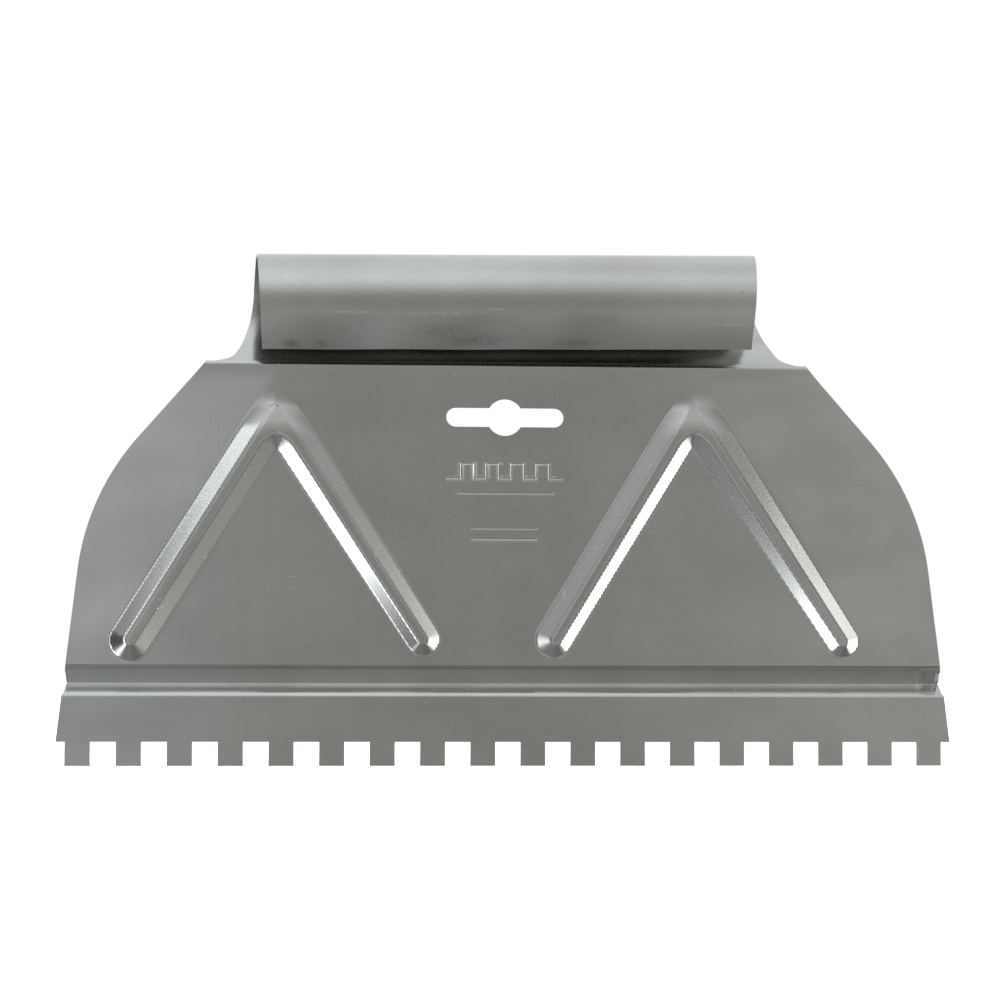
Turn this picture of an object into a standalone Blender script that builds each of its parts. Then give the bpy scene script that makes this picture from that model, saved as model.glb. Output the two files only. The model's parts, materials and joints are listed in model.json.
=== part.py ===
"""Notched spreader formed from a single blank of bright sheet steel.

The blank is laid out flat in two coordinates: x across the tool, and rise, the height of the
point before any bending. The lower end of the blank is cut into square teeth, the plate above
it is stiffened by a cross bead and two embossed chevron ribs, and the narrower tongue at the
top is bent back and rolled over forwards into an open tube that is the handle.

World frame: X across the tool, Z up, -Y towards the user's side. The origin is the middle of
the toothed edge. Everything is in metres.
"""
import math

import bpy
from mathutils import Vector
from mathutils.geometry import delaunay_2d_cdt, intersect_line_line_2d

SHEET = 0.0006               # thickness of the sheet

# Toothed edge: square notches, as wide as the teeth between them.
TOOTH = 0.00635
NOTCH_DEPTH = 0.0060
TOOTH_COUNT = 18
PITCH = 2 * TOOTH

# Plate outline: two straight flanks on each side, joined by an arc.
ROOT_HALF_WIDTH = 0.1134     # at the roots of the teeth
SHOULDER_HALF_WIDTH = 0.0765 # at the shoulders, where the plate ends
SHOULDER_RISE = 0.102
FLANK_CORNER = (0.1061, 0.0682)  # where the two flanks would meet without the arc
FLANK_RADIUS = 0.062
FLANK_STEPS = 10

# Tongue outline: fillet into the shoulder, a quick taper up the web, then a slow one to the end.
TONGUE_ROOT_HALF_WIDTH = 0.0704
TONGUE_NECK_HALF_WIDTH = 0.0646
TONGUE_END_HALF_WIDTH = 0.0618
TONGUE_NECK = 0.0195         # run from the shoulders to the change of taper
TONGUE_FILLET = 0.0060
TONGUE_NECK_RADIUS = 0.040
TONGUE_STEPS = 8

# Cross bead: depth behind the plate at each height, from its upper lip down to the toothed band.
BAND_Y = -0.0005             # the toothed band stands slightly in front of the plate
BEAD = ((BAND_Y, 0.0182), (0.0, 0.0189), (0.0022, 0.0206), (0.0012, 0.0242), (0.0, 0.0251))
BEAD_WAIST = 0.0010          # pressing the bead draws the ends of the blank in by this much
WAIST_TOP = 0.0262           # where the ends are back on their line

# Handle: the bend above the plate, and the roll that follows it.
BEND_RISE = 0.1010
BEND_RADIUS = 0.0015
BEND_STEPS = 4
HANDLE_DIAMETER = 0.0254
HANDLE_Y = 0.0
HANDLE_Z = 0.1170
ROLL_END_ANGLE = math.radians(15)   # how far the roll goes on below its foremost line
ROLL_STEPS = 28
LIP = 0.0095                 # flat strip at the free edge
HANDLE_SKEW = 0.0095         # the handle climbs to the right, by this much of the distance
SKEW_RUN = 0.0090            # stretch of web over which the skew comes in
HANDLE_DRIFT = -0.0008       # the tongue drifts sideways by this much as it is rolled
DRIFT_START = 0.112
DRIFT_RUN = 0.042

# Hanging hole: a slot crossed by a larger round hole.
HOLE_CENTRE = (-0.0009, 0.0882)
HOLE_SLOT_LENGTH = 0.0299
HOLE_SLOT_WIDTH = 0.0048
HOLE_ROUND_DIAMETER = 0.0093
HOLE_STEPS = 8

# Chevron ribs: embossed towards -Y, tapering and growing taller towards their feet.
RIB_PAIR_X = -0.0053         # the pair is not quite centred on the plate
RIB_SPACING = 0.1065
RIB_HALF_SPAN = 0.0375
RIB_APEX_RISE = 0.0886
RIB_FOOT_RISE = 0.0306
RIB_BASE_TOP = 0.0054        # half-width of the rib at the plate, at the apex
RIB_BASE_FOOT = 0.0046       # and at its foot
RIB_WIDE_FOOT = 0.0054       # the outermost leg on the left is pressed wider
RIB_CREST = 0.0008           # half-width of the flat crest
RIB_HEIGHT_APEX = 0.0015
RIB_HEIGHT_FOOT = 0.0019
RIB_CAP_STEPS = 8

STEEL = (0.46, 0.47, 0.45, 1.0)
ON_LINE = 1e-7               # closer than this counts as the same place


def clear_scene():
    for item in list(bpy.data.objects):
        bpy.data.objects.remove(item, do_unlink=True)


def mix(a, b, t):
    return a + (b - a) * t


def arc(centre, radius, start, end, steps):
    """Points on an arc in the flat layout, ends included."""
    angles = [mix(start, end, i / steps) for i in range(steps + 1)]
    return [Vector((centre[0] + radius * math.cos(a), centre[1] + radius * math.sin(a)))
            for a in angles]


def fillet(before, corner, after, radius, steps):
    """Arc of the given radius that rounds the corner of a polyline."""
    before, corner, after = Vector(before), Vector(corner), Vector(after)
    towards = (before - corner).normalized()
    away = (after - corner).normalized()
    half = towards.angle(away) / 2
    centre = corner + (towards + away).normalized() * (radius / math.sin(half))
    first = corner + towards * (radius / math.tan(half)) - centre
    last = corner + away * (radius / math.tan(half)) - centre
    start = math.atan2(first.y, first.x)
    sweep = math.atan2(first.x * last.y - first.y * last.x, first.dot(last))
    return arc(centre, radius, start, start + sweep, steps)


# ---- the fold: where each rise of the blank ends up in the Y-Z plane ----

def web_angle():
    """Lean of the web, the straight run that is tangent to both the bend and the roll."""
    roll = HANDLE_DIAMETER / 2 - SHEET / 2
    across, up = BEND_RADIUS - HANDLE_Y, HANDLE_Z - BEND_RISE
    return math.asin((roll + BEND_RADIUS) / math.hypot(across, up)) - math.atan2(across, up)


def fold_path():
    """Mid-surface of the sheet as (rise, Vector(y, z)) rows, from the teeth to the free edge."""
    rows = [(0.0, Vector((BAND_Y, 0.0)))]
    rows += [(z, Vector((y, z))) for y, z in BEAD]
    lean = web_angle()
    for i in range(BEND_STEPS + 1):
        turn = lean * i / BEND_STEPS
        place = Vector((BEND_RADIUS * (1 - math.cos(turn)), BEND_RISE + BEND_RADIUS * math.sin(turn)))
        rows.append((BEND_RISE + BEND_RADIUS * turn, place))
    roll = HANDLE_DIAMETER / 2 - SHEET / 2
    axis = Vector((HANDLE_Y, HANDLE_Z))
    end = math.pi + ROLL_END_ANGLE
    rise = rows[-1][0]
    for i in range(ROLL_STEPS + 1):
        turn = mix(-lean, end, i / ROLL_STEPS)
        place = axis + roll * Vector((math.cos(turn), math.sin(turn)))
        rise += (place - rows[-1][1]).length
        rows.append((rise, place))
    along = Vector((-math.sin(end), math.cos(end)))
    rows.append((rise + LIP, rows[-1][1] + along * LIP))
    return rows


def offset_rows(rows, distance):
    """The fold moved sideways by a distance, with its corners kept square to both neighbours."""
    moved = []
    for i, (rise, place) in enumerate(rows):
        before = (place - rows[i - 1][1]).normalized() if i else None
        after = (rows[i + 1][1] - place).normalized() if i + 1 < len(rows) else before
        before = before or after
        side = Vector((-(before + after).y, (before + after).x)).normalized()
        stretch = 1 / side.dot(Vector((-after.y, after.x)))
        moved.append((rise, place + side * distance * stretch))
    return moved


def fold_point(rows, rise):
    """Place on a folded row list, by straight lines between its rows."""
    for (low, start), (high, end) in zip(rows, rows[1:]):
        if rise <= high + ON_LINE:
            return start.lerp(end, (rise - low) / (high - low))
    return rows[-1][1]


# ---- the blank: its outline, hole and ribs in the flat layout ----

def toothed_edge():
    points = [Vector((-ROOT_HALF_WIDTH, NOTCH_DEPTH))]
    first = -(PITCH * (TOOTH_COUNT - 1) + TOOTH) / 2
    for i in range(TOOTH_COUNT):
        left = first + PITCH * i
        right = left + TOOTH
        tooth = ((left, NOTCH_DEPTH), (left, 0), (right, 0), (right, NOTCH_DEPTH))
        points += [Vector(p) for p in tooth]
    points.append(Vector((ROOT_HALF_WIDTH, NOTCH_DEPTH)))
    return points


def waist(root, corner):
    """Notch in the lower flank where the bead has drawn the end of the blank in."""
    low, foot, deep = BEAD[0][1], BEAD[1][1], BEAD[2][1]
    notch = ((low, 0.0), (foot, BEAD_WAIST / 2), (deep, BEAD_WAIST), (WAIST_TOP, 0.0))
    points = []
    for rise, inward in notch:
        t = (rise - root[1]) / (corner[1] - root[1])
        points.append(Vector((mix(root[0], corner[0], t) - inward, rise)))
    return points


def right_flank(free_edge):
    """Right side of the blank, from the tooth roots up to the free edge of the tongue."""
    root = (ROOT_HALF_WIDTH, NOTCH_DEPTH)
    shoulder = (SHOULDER_HALF_WIDTH, SHOULDER_RISE)
    points = waist(root, FLANK_CORNER)
    points += fillet(root, FLANK_CORNER, shoulder, FLANK_RADIUS, FLANK_STEPS)
    points.append(Vector(shoulder))
    inner = (TONGUE_ROOT_HALF_WIDTH, SHOULDER_RISE)
    neck = (TONGUE_NECK_HALF_WIDTH, SHOULDER_RISE + TONGUE_NECK)
    end = (TONGUE_END_HALF_WIDTH, free_edge)
    points += fillet(shoulder, inner, neck, TONGUE_FILLET, TONGUE_STEPS)
    points += fillet(inner, neck, end, TONGUE_NECK_RADIUS, TONGUE_STEPS)
    points.append(Vector(end))
    return points


def outline(free_edge):
    right = right_flank(free_edge)
    left = [Vector((-p.x, p.y)) for p in reversed(right)]
    return toothed_edge() + right + left


def hanging_hole():
    """Slot with round ends, opened out by the round hole at its middle."""
    end_radius = HOLE_SLOT_WIDTH / 2
    reach = HOLE_SLOT_LENGTH / 2 - end_radius
    middle = HOLE_ROUND_DIAMETER / 2
    mouth = math.asin(end_radius / middle)
    x, rise = HOLE_CENTRE
    quarter = math.pi / 2
    points = arc((x + reach, rise), end_radius, -quarter, quarter, HOLE_STEPS)
    points += arc((x, rise), middle, mouth, math.pi - mouth, HOLE_STEPS)
    points += arc((x - reach, rise), end_radius, quarter, 3 * quarter, HOLE_STEPS)
    points += arc((x, rise), middle, math.pi + mouth, 2 * math.pi - mouth, HOLE_STEPS)
    return points


def rib_legs():
    """Each chevron as its left and right leg: (apex, foot, base half-width at the foot)."""
    chevrons = []
    for side in (-1, 1):
        middle = RIB_PAIR_X + side * RIB_SPACING / 2
        apex = Vector((middle, RIB_APEX_RISE))
        left = Vector((middle - RIB_HALF_SPAN, RIB_FOOT_RISE))
        right = Vector((middle + RIB_HALF_SPAN, RIB_FOOT_RISE))
        outer = RIB_WIDE_FOOT if side < 0 else RIB_BASE_FOOT
        chevrons.append(((apex, left, outer), (apex, right, RIB_BASE_FOOT)))
    return chevrons


def leg_side(leg, top_width, foot_width, side):
    """Straight side of a leg, from the apex end to the foot end."""
    apex, foot, _ = leg
    along = (foot - apex).normalized()
    across = Vector((-along.y, along.x)) * side
    return apex + across * top_width, foot + across * foot_width


def rib_loop(chevron, top_width, foot_widths):
    """Closed outline around both legs, with round feet, a round apex and a sharp crotch."""
    left, right = chevron
    inner_left = leg_side(left, top_width, foot_widths[0], 1)
    inner_right = leg_side(right, top_width, foot_widths[1], -1)
    outer_left = leg_side(left, top_width, foot_widths[0], -1)
    outer_right = leg_side(right, top_width, foot_widths[1], 1)
    crotch = intersect_line_line_2d(*inner_left, *inner_right)
    points = [crotch]
    points += cap(left[1], inner_left[1], outer_left[1], -1)
    points += cap(left[0], outer_left[0], outer_right[0], -1)
    points += cap(right[1], outer_right[1], inner_right[1], -1)
    return points


def cap(centre, start, end, turn):
    """Arc about a centre from one point to another, turning one way."""
    first, last = start - centre, end - centre
    begin = math.atan2(first.y, first.x)
    sweep = (math.atan2(last.y, last.x) - begin) * turn % (2 * math.pi) * turn
    return arc(centre, first.length, begin, begin + sweep, RIB_CAP_STEPS)


def rib_height(point):
    """Height of the embossing above the plate at a point of the flat layout."""
    tallest = 0.0
    for chevron in rib_legs():
        for apex, foot, foot_width in chevron:
            run = foot - apex
            t = min(max((point - apex).dot(run) / run.length_squared, 0.0), 1.0)
            away = (point - apex.lerp(foot, t)).length
            base = mix(RIB_BASE_TOP, foot_width, t)
            wall = min(max((base - away) / (base - RIB_CREST), 0.0), 1.0)
            tallest = max(tallest, wall * mix(RIB_HEIGHT_APEX, RIB_HEIGHT_FOOT, t))
    return tallest


# ---- the solid ----

def inside(point, loop):
    """Even-odd test of a point against a closed polygon."""
    odd = False
    for a, b in zip(loop, loop[1:] + loop[:1]):
        if (a.y > point.y) != (b.y > point.y):
            if point.x < a.x + (b.x - a.x) * (point.y - a.y) / (b.y - a.y):
                odd = not odd
    return odd


def flat_triangles(rows):
    """The blank cut into triangles that follow every fold line and rib line."""
    edge = outline(rows[-1][0])
    hole = hanging_hole()
    loops = [edge, hole]
    for chevron in rib_legs():
        widths = [leg[2] for leg in chevron]
        loops.append(rib_loop(chevron, RIB_BASE_TOP, widths))
        loops.append(rib_loop(chevron, RIB_CREST, [RIB_CREST, RIB_CREST]))
    points, lines = [], []
    for loop in loops:
        first = len(points)
        points += loop
        lines += [(first + i, first + (i + 1) % len(loop)) for i in range(len(loop))]
    for rise, _ in rows[1:-1]:
        points += [Vector((-ROOT_HALF_WIDTH * 1.1, rise)), Vector((ROOT_HALF_WIDTH * 1.1, rise))]
        lines.append((len(points) - 2, len(points) - 1))
    flat, _, faces, _, _, _ = delaunay_2d_cdt(points, lines, [], 0, ON_LINE)
    kept = []
    for face in faces:
        middle = sum((flat[i] for i in face), Vector((0, 0))) / len(face)
        if inside(middle, edge) and not inside(middle, hole):
            kept.append(tuple(face))
    return flat, kept


def share(rise, start, run):
    """How much of a gradual change has come in at a rise, from 0 to 1."""
    return min(max((rise - start) / run, 0.0), 1.0)


def folded(rows, point, emboss):
    """Place in the world of a point of the flat layout, on one side of the sheet."""
    place = fold_point(rows, point.y)
    x = point.x + HANDLE_DRIFT * share(point.y, DRIFT_START, DRIFT_RUN)
    climb = HANDLE_SKEW * x * share(point.y, BEND_RISE, SKEW_RUN)
    return x, place.x - emboss, place.y + climb


def build_sheet():
    rows = fold_path()
    front_rows = offset_rows(rows, SHEET / 2)
    back_rows = offset_rows(rows, -SHEET / 2)
    flat, faces = flat_triangles(rows)
    used = sorted({i for face in faces for i in face})
    number = {i: n for n, i in enumerate(used)}
    front, back = [], []
    for i in used:
        emboss = rib_height(flat[i])
        front.append(folded(front_rows, flat[i], emboss))
        back.append(folded(back_rows, flat[i], emboss))
    count = len(used)
    polygons = []
    rim = {}
    for face in faces:
        a, b, c = (number[i] for i in face)
        polygons.append((a, b, c))
        polygons.append((c + count, b + count, a + count))
        for start, end in ((a, b), (b, c), (c, a)):
            if (end, start) in rim:
                del rim[(end, start)]
            else:
                rim[(start, end)] = True
    polygons += [(end, start, start + count, end + count) for start, end in rim]
    mesh = bpy.data.meshes.new("spreader_sheet")
    mesh.from_pydata(front + back, [], polygons)
    mesh.validate()
    return mesh


def steel_material():
    material = bpy.data.materials.new("bright_steel")
    material.use_nodes = True
    shader = material.node_tree.nodes["Principled BSDF"]
    shader.inputs["Base Color"].default_value = STEEL
    shader.inputs["Metallic"].default_value = 1.0
    shader.inputs["Roughness"].default_value = 0.3
    return material


def main():
    clear_scene()
    mesh = build_sheet()
    mesh.materials.append(steel_material())
    sheet = bpy.data.objects.new("spreader_sheet", mesh)
    bpy.context.scene.collection.objects.link(sheet)
    mesh.shade_smooth()
    mesh.set_sharp_from_angle(angle=math.radians(25))


main()
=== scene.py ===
"""Looks of the notched spreader: a finely modelled steel sheet, its finish, and a small studio.

The sheet is laid out flat in two coordinates, x across the tool and rise, the height of a point
before any bending. Ribs, bead and mark are pressed into it, and it is then folded along the same
path as the CAD solid. Everything is in metres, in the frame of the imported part.
"""

import functools
import json
import math
from collections import namedtuple

import bpy
import numpy as np
from mathutils import Matrix, Vector
from mathutils.geometry import delaunay_2d_cdt


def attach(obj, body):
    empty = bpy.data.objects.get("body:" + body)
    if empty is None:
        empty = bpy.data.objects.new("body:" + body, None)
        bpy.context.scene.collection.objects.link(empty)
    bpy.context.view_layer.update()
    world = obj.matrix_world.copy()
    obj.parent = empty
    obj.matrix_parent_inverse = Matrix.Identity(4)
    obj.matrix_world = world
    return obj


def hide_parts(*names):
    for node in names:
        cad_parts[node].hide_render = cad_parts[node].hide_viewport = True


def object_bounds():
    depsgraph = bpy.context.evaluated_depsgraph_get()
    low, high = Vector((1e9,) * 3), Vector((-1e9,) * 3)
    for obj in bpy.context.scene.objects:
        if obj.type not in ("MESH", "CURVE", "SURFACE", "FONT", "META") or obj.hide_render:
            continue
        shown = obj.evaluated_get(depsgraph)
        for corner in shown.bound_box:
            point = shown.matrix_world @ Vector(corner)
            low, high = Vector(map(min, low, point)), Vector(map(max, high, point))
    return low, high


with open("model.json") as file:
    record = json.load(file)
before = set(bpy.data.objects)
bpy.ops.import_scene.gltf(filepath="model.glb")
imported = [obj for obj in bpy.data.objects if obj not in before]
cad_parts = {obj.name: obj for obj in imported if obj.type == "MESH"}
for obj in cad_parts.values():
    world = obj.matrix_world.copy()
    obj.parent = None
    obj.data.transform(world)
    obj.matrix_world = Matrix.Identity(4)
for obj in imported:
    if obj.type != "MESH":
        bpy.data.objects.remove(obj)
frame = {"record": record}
cad_low, cad_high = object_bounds()
MOUNTS = {mount["name"]: Vector(mount["pos_m"]) for mount in frame["record"]["mounts"]}

MM = 0.001

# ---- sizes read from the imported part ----
HALF_WIDTH = (cad_high.x - cad_low.x) / 2     # at the roots of the teeth
TOOTH = MOUNTS["tooth_tips"].x                # width: the mount's tooth is centred this far from the middle
BAND_Y = MOUNTS["tooth_tips"].y
SHEET = 2 * MOUNTS["blade_back"].y            # the middle of the plate's thickness is at y = 0
TOOTH_COUNT = 18
PITCH = 2 * TOOTH

# ---- outline of the blank ----
NOTCH_DEPTH = 6.0 * MM
SHOULDER_HALF_WIDTH = 76.5 * MM
SHOULDER_RISE = 102 * MM
FLANK_CORNER = (106.1 * MM, 68.2 * MM)
FLANK_RADIUS = 62 * MM
TONGUE_ROOT_HALF_WIDTH = 70.4 * MM
TONGUE_NECK_HALF_WIDTH = 64.6 * MM
TONGUE_END_HALF_WIDTH = 61.8 * MM
TONGUE_NECK = 19.5 * MM
TONGUE_FILLET = 6 * MM
TONGUE_NECK_RADIUS = 40 * MM
HOLE_CENTRE = (-0.9 * MM, 88.2 * MM)
HOLE_SLOT_LENGTH = 29.9 * MM
HOLE_SLOT_WIDTH = 4.8 * MM
HOLE_ROUND_DIAMETER = 9.3 * MM
EDGE_CHAMFER = 0.07 * MM

# ---- cross bead: (y, z) corners from the toothed band up to the plate, with their radii ----
BEAD = (
    (BAND_Y, 17.5 * MM, 0.9 * MM),
    (0.0, 18.2 * MM, 0.6 * MM),
    (2.5 * MM, 20.6 * MM, 0.6 * MM),
    (1.1 * MM, 24.5 * MM, 1.2 * MM),
    (0.0, 25.4 * MM, 0.8 * MM),
)
BEAD_ROUND_STEPS = 7          # per corner
BEAD_WAIST = 0.8 * MM         # pressing the bead draws the ends of the blank in by this much
WAIST_TOP = 23.8 * MM
CRIMP_START = 105.0 * MM      # beyond this, on the right, the bead is pinched into small pleats
CRIMP_RUN = 2.4 * MM
CRIMP_DEPTH = 0.7             # share of the bead's depth that is left there
PLEAT_COUNT = 3
PLEAT_HEIGHT = 0.3 * MM

# ---- handle ----
BEND_RISE = 101 * MM
BEND_RADIUS = 1.5 * MM
BEND_STEPS = 8
HANDLE_RADIUS = 12.7 * MM
ROLL_RADIUS = HANDLE_RADIUS - SHEET / 2       # of the middle of the sheet's thickness
HANDLE_Y = 0.0
HANDLE_Z = 117 * MM
ROLL_END = math.pi + math.radians(15)         # angle round the handle where the roll ends, 0 at its rear
ROLL_STEPS = 66
LIP = 9.5 * MM                # length of the nearly flat lip between the roll and the free edge
LIP_STEPS = 6
LIP_CURL = math.radians(9)    # the lip turns inwards by this much along its length,
LIP_WAVE = math.radians(5)    # and by up to this much more, in waves along the handle
LIP_WAVE_LENGTH = 32 * MM
LIP_WAVE_PHASE = 0.6
LIP_WAVE_FADE = 60 * MM       # the waves die out over this much, right of the middle
HANDLE_SKEW = 0.0095          # slope of the handle, up towards the right
SKEW_RUN = 9 * MM
HANDLE_DRIFT = -0.8 * MM      # the tongue drifts sideways by this much as it is rolled
DRIFT_START = 112 * MM
DRIFT_RUN = 42 * MM

# ---- ribs: two chevrons of two legs each, from left to right ----
# A leg has the (x, rise) ends of its crest's middle line, its height at the apex and at the foot, and
# its left and right wall, each with its width at the apex and at the foot. All are in millimetres.
Wall = namedtuple("Wall", "top foot")
Leg = namedtuple("Leg", "apex foot height left right")
LEGS = (
    Leg((-59.2, 89.0), (-95.1, 31.5), (1.90, 2.30), Wall(4.9, 4.7), Wall(5.0, 4.9)),
    Leg((-58.6, 89.0), (-21.8, 31.8), (1.90, 1.86), Wall(4.7, 3.3), Wall(4.9, 4.1)),
    Leg((47.2, 89.9), (12.1, 31.8), (1.90, 1.75), Wall(5.0, 4.7), Wall(4.2, 3.7)),
    Leg((47.5, 89.9), (85.7, 31.6), (1.90, 1.75), Wall(5.0, 3.4), Wall(5.7, 3.7)),
)
WALL_CORNER = 0.14            # share of a wall that is rounded at its top, and at its bottom
CREST_HALF_WIDTH = 0.75 * MM
APEX_PAD = 2.4 * MM           # the crest is this much wider inside the chevron, at its apex
APEX_PAD_RUN = 9 * MM
FADE_ABOVE = 6 * MM           # a chevron rises out of the plate from here above its apex,
FADE_RUN = 12.5 * MM          # over this much height,
FADE_CORNER = 0.35            # with this share of the rise eased at each end
CROTCH_POWER = 6              # how tightly two legs are blended where they meet
APEX_BLEND = 3 * MM           # half-width of the change from one leg's height to the other's
LEAST_REACH = 1e-3            # keeps the blend of two walls above zero
LEFT_TILT = 0.035             # slope of the panels outside the outermost ribs, away from the user
RIGHT_TILT = 0.020
PANEL_EDGE = 1.2 * MM         # half-width of the soft bend where a panel starts
PANEL_FADE_START = 26 * MM    # the panels lean out of the plate from here up,
PANEL_FADE_RUN = 14 * MM      # over this much height,
PANEL_TOP_RUN = 4 * MM        # and come back to it over this much height under the bend

# ---- engraved mark under the hanging hole ----
MARK_STEP = 3.2 * MM          # width of one notch, and of one tooth, of the pictured edge
MARK_NOTCHES = 4
MARK_LOW = 72.8 * MM
MARK_HIGH = 76.4 * MM
MARK_RULES = ((69.0 * MM, 12.0 * MM), (60.0 * MM, 8.0 * MM), (57.4 * MM, 8.0 * MM))   # rise, half-length
MARK_HALF_WIDTH = 0.24 * MM
MARK_DEPTH = 0.12 * MM
MARK_MARGIN = 1.02            # faces within this many half-widths of a stroke keep their plain facets

# ---- density of the mesh ----
EDGE_STEP = 1.6 * MM          # along the outline and the hole
PLATE_STEP = 1.1 * MM
RIB_STEP = 0.52 * MM
RIB_MARGIN = 6.9 * MM         # the finer grid reaches this far from the line of a leg
RIB_RISES = (24 * MM, 97 * MM)
BEAD_STEP = 2 * MM
CRIMP_STEP = 0.5 * MM
HANDLE_STEP = 2.2 * MM
ROW_OVERHANG = 1.05           # fold rows reach past the sides of the blank, and are cut off there
ON_LINE = 1e-7                # points closer than this are one point
FAR = 1.0                     # a distance larger than the part
TINY = 1e-9                   # stands in for a length of zero in a division
MITRE_LIMIT = 0.5             # keeps the mitre of a sharp corner short
SLOPE_STEP = 0.05 * MM        # half of the step over which slopes are measured


def mix(a, b, t):
    return a + (b - a) * t


def ease(t):
    """Smooth step from 0 to 1."""
    t = np.clip(t, 0.0, 1.0)
    return t * t * (3 - 2 * t)


# ==== shapes in the plane ====

def arc(centre, radius, start, end, steps):
    angles = [mix(start, end, i / steps) for i in range(steps + 1)]
    return [Vector((centre[0] + radius * math.cos(a), centre[1] + radius * math.sin(a)))
            for a in angles]


def fillet(before, corner, after, radius, steps):
    """Arc of the given radius that rounds the corner of a polyline."""
    before, corner, after = Vector(before), Vector(corner), Vector(after)
    towards = (before - corner).normalized()
    away = (after - corner).normalized()
    half = towards.angle(away) / 2
    centre = corner + (towards + away).normalized() * (radius / math.sin(half))
    first = corner + towards * (radius / math.tan(half)) - centre
    last = corner + away * (radius / math.tan(half)) - centre
    start = math.atan2(first.y, first.x)
    sweep = math.atan2(first.x * last.y - first.y * last.x, first.dot(last))
    return arc(centre, radius, start, start + sweep, steps)


def toothed_edge():
    """Lower edge of the blank, from left to right."""
    points = [Vector((-HALF_WIDTH, NOTCH_DEPTH))]
    first = -(PITCH * (TOOTH_COUNT - 1) + TOOTH) / 2
    for i in range(TOOTH_COUNT):
        left = first + PITCH * i
        right = left + TOOTH
        tooth = ((left, NOTCH_DEPTH), (left, 0), (right, 0), (right, NOTCH_DEPTH))
        points += [Vector(p) for p in tooth]
    points.append(Vector((HALF_WIDTH, NOTCH_DEPTH)))
    return points


def waist(root, corner):
    """Notch in the lower flank where the bead has drawn the end of the blank in."""
    low, foot, deep = BEAD[0][1], BEAD[1][1], BEAD[2][1]
    notch = ((low, 0.0), (foot, BEAD_WAIST / 2), (deep, BEAD_WAIST), (WAIST_TOP, 0.0))
    points = []
    for rise, inward in notch:
        t = (rise - root[1]) / (corner[1] - root[1])
        points.append(Vector((mix(root[0], corner[0], t) - inward, rise)))
    return points


def right_flank(free_edge):
    """Right side of the blank, from the toothed band up to the free edge of the handle."""
    root = (HALF_WIDTH, NOTCH_DEPTH)
    shoulder = (SHOULDER_HALF_WIDTH, SHOULDER_RISE)
    inner = (TONGUE_ROOT_HALF_WIDTH, SHOULDER_RISE)
    neck = (TONGUE_NECK_HALF_WIDTH, SHOULDER_RISE + TONGUE_NECK)
    end = (TONGUE_END_HALF_WIDTH, free_edge)
    points = waist(root, FLANK_CORNER)
    points += fillet(root, FLANK_CORNER, shoulder, FLANK_RADIUS, steps=16)
    points.append(Vector(shoulder))
    points += fillet(shoulder, inner, neck, TONGUE_FILLET, steps=12)
    points += fillet(inner, neck, end, TONGUE_NECK_RADIUS, steps=10)
    points.append(Vector(end))
    return points


def outline(free_edge):
    """The whole edge of the blank, anticlockwise."""
    right = right_flank(free_edge)
    left = [Vector((-p.x, p.y)) for p in reversed(right)]
    return toothed_edge() + right + left


def hanging_hole():
    """Slot with round ends, opened out by a larger round hole at its middle."""
    end_radius = HOLE_SLOT_WIDTH / 2
    reach = HOLE_SLOT_LENGTH / 2 - end_radius
    middle = HOLE_ROUND_DIAMETER / 2
    mouth = math.asin(end_radius / middle)
    x, rise = HOLE_CENTRE
    quarter = math.pi / 2
    points = arc((x + reach, rise), end_radius, -quarter, quarter, steps=14)
    points += arc((x, rise), middle, mouth, math.pi - mouth, steps=14)
    points += arc((x - reach, rise), end_radius, quarter, 3 * quarter, steps=14)
    points += arc((x, rise), middle, math.pi + mouth, 2 * math.pi - mouth, steps=14)
    return points


def stepped(loop, step):
    """A closed loop with extra points, so that none of its edges is longer than a step."""
    points = []
    for a, b in zip(loop, loop[1:] + loop[:1]):
        count = max(1, math.ceil((b - a).length / step))
        points += [a.lerp(b, i / count) for i in range(count)]
    return points


def inside(points, loop):
    """Even-odd test of many points against a closed polygon."""
    odd = np.zeros(len(points), bool)
    x, y = points[:, 0], points[:, 1]
    for a, b in zip(loop, loop[1:] + loop[:1]):
        if a.y == b.y:
            continue
        spans = (a.y > y) != (b.y > y)
        odd ^= spans & (x < a.x + (b.x - a.x) * (y - a.y) / (b.y - a.y))
    return odd


# ==== the fold: where each rise of the blank ends up in the Y-Z plane ====

def web_angle():
    """Lean of the web, the straight run that is tangent to both the bend and the roll."""
    across, up = BEND_RADIUS - HANDLE_Y, HANDLE_Z - BEND_RISE
    return math.asin((ROLL_RADIUS + BEND_RADIUS) / math.hypot(across, up)) - math.atan2(across, up)


def bead_rows():
    """Rows from the teeth, round the corners of the bead, to the foot of the plate."""
    start, top = Vector((BAND_Y, 0.0)), Vector((0.0, BEND_RISE))
    corners = [start] + [Vector(corner[:2]) for corner in BEAD] + [top]
    places = [start]
    for i, (_, _, radius) in enumerate(BEAD):
        places += fillet(corners[i], corners[i + 1], corners[i + 2], radius, BEAD_ROUND_STEPS)
    rows = []
    for i, place in enumerate(places):
        before = places[max(i - 1, 0)]
        after = places[i + 1] if i + 1 < len(places) else top
        run = after - before
        rows.append((place.y, place.x, place.y, math.atan2(run.x, run.y)))
    return rows


def bend_rows(lean):
    """Rows round the bend at the top of the plate."""
    rows = []
    for i in range(BEND_STEPS + 1):
        turn = lean * i / BEND_STEPS
        y = BEND_RADIUS * (1 - math.cos(turn))
        z = BEND_RISE + BEND_RADIUS * math.sin(turn)
        rows.append((BEND_RISE + BEND_RADIUS * turn, y, z, turn))
    return rows


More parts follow.
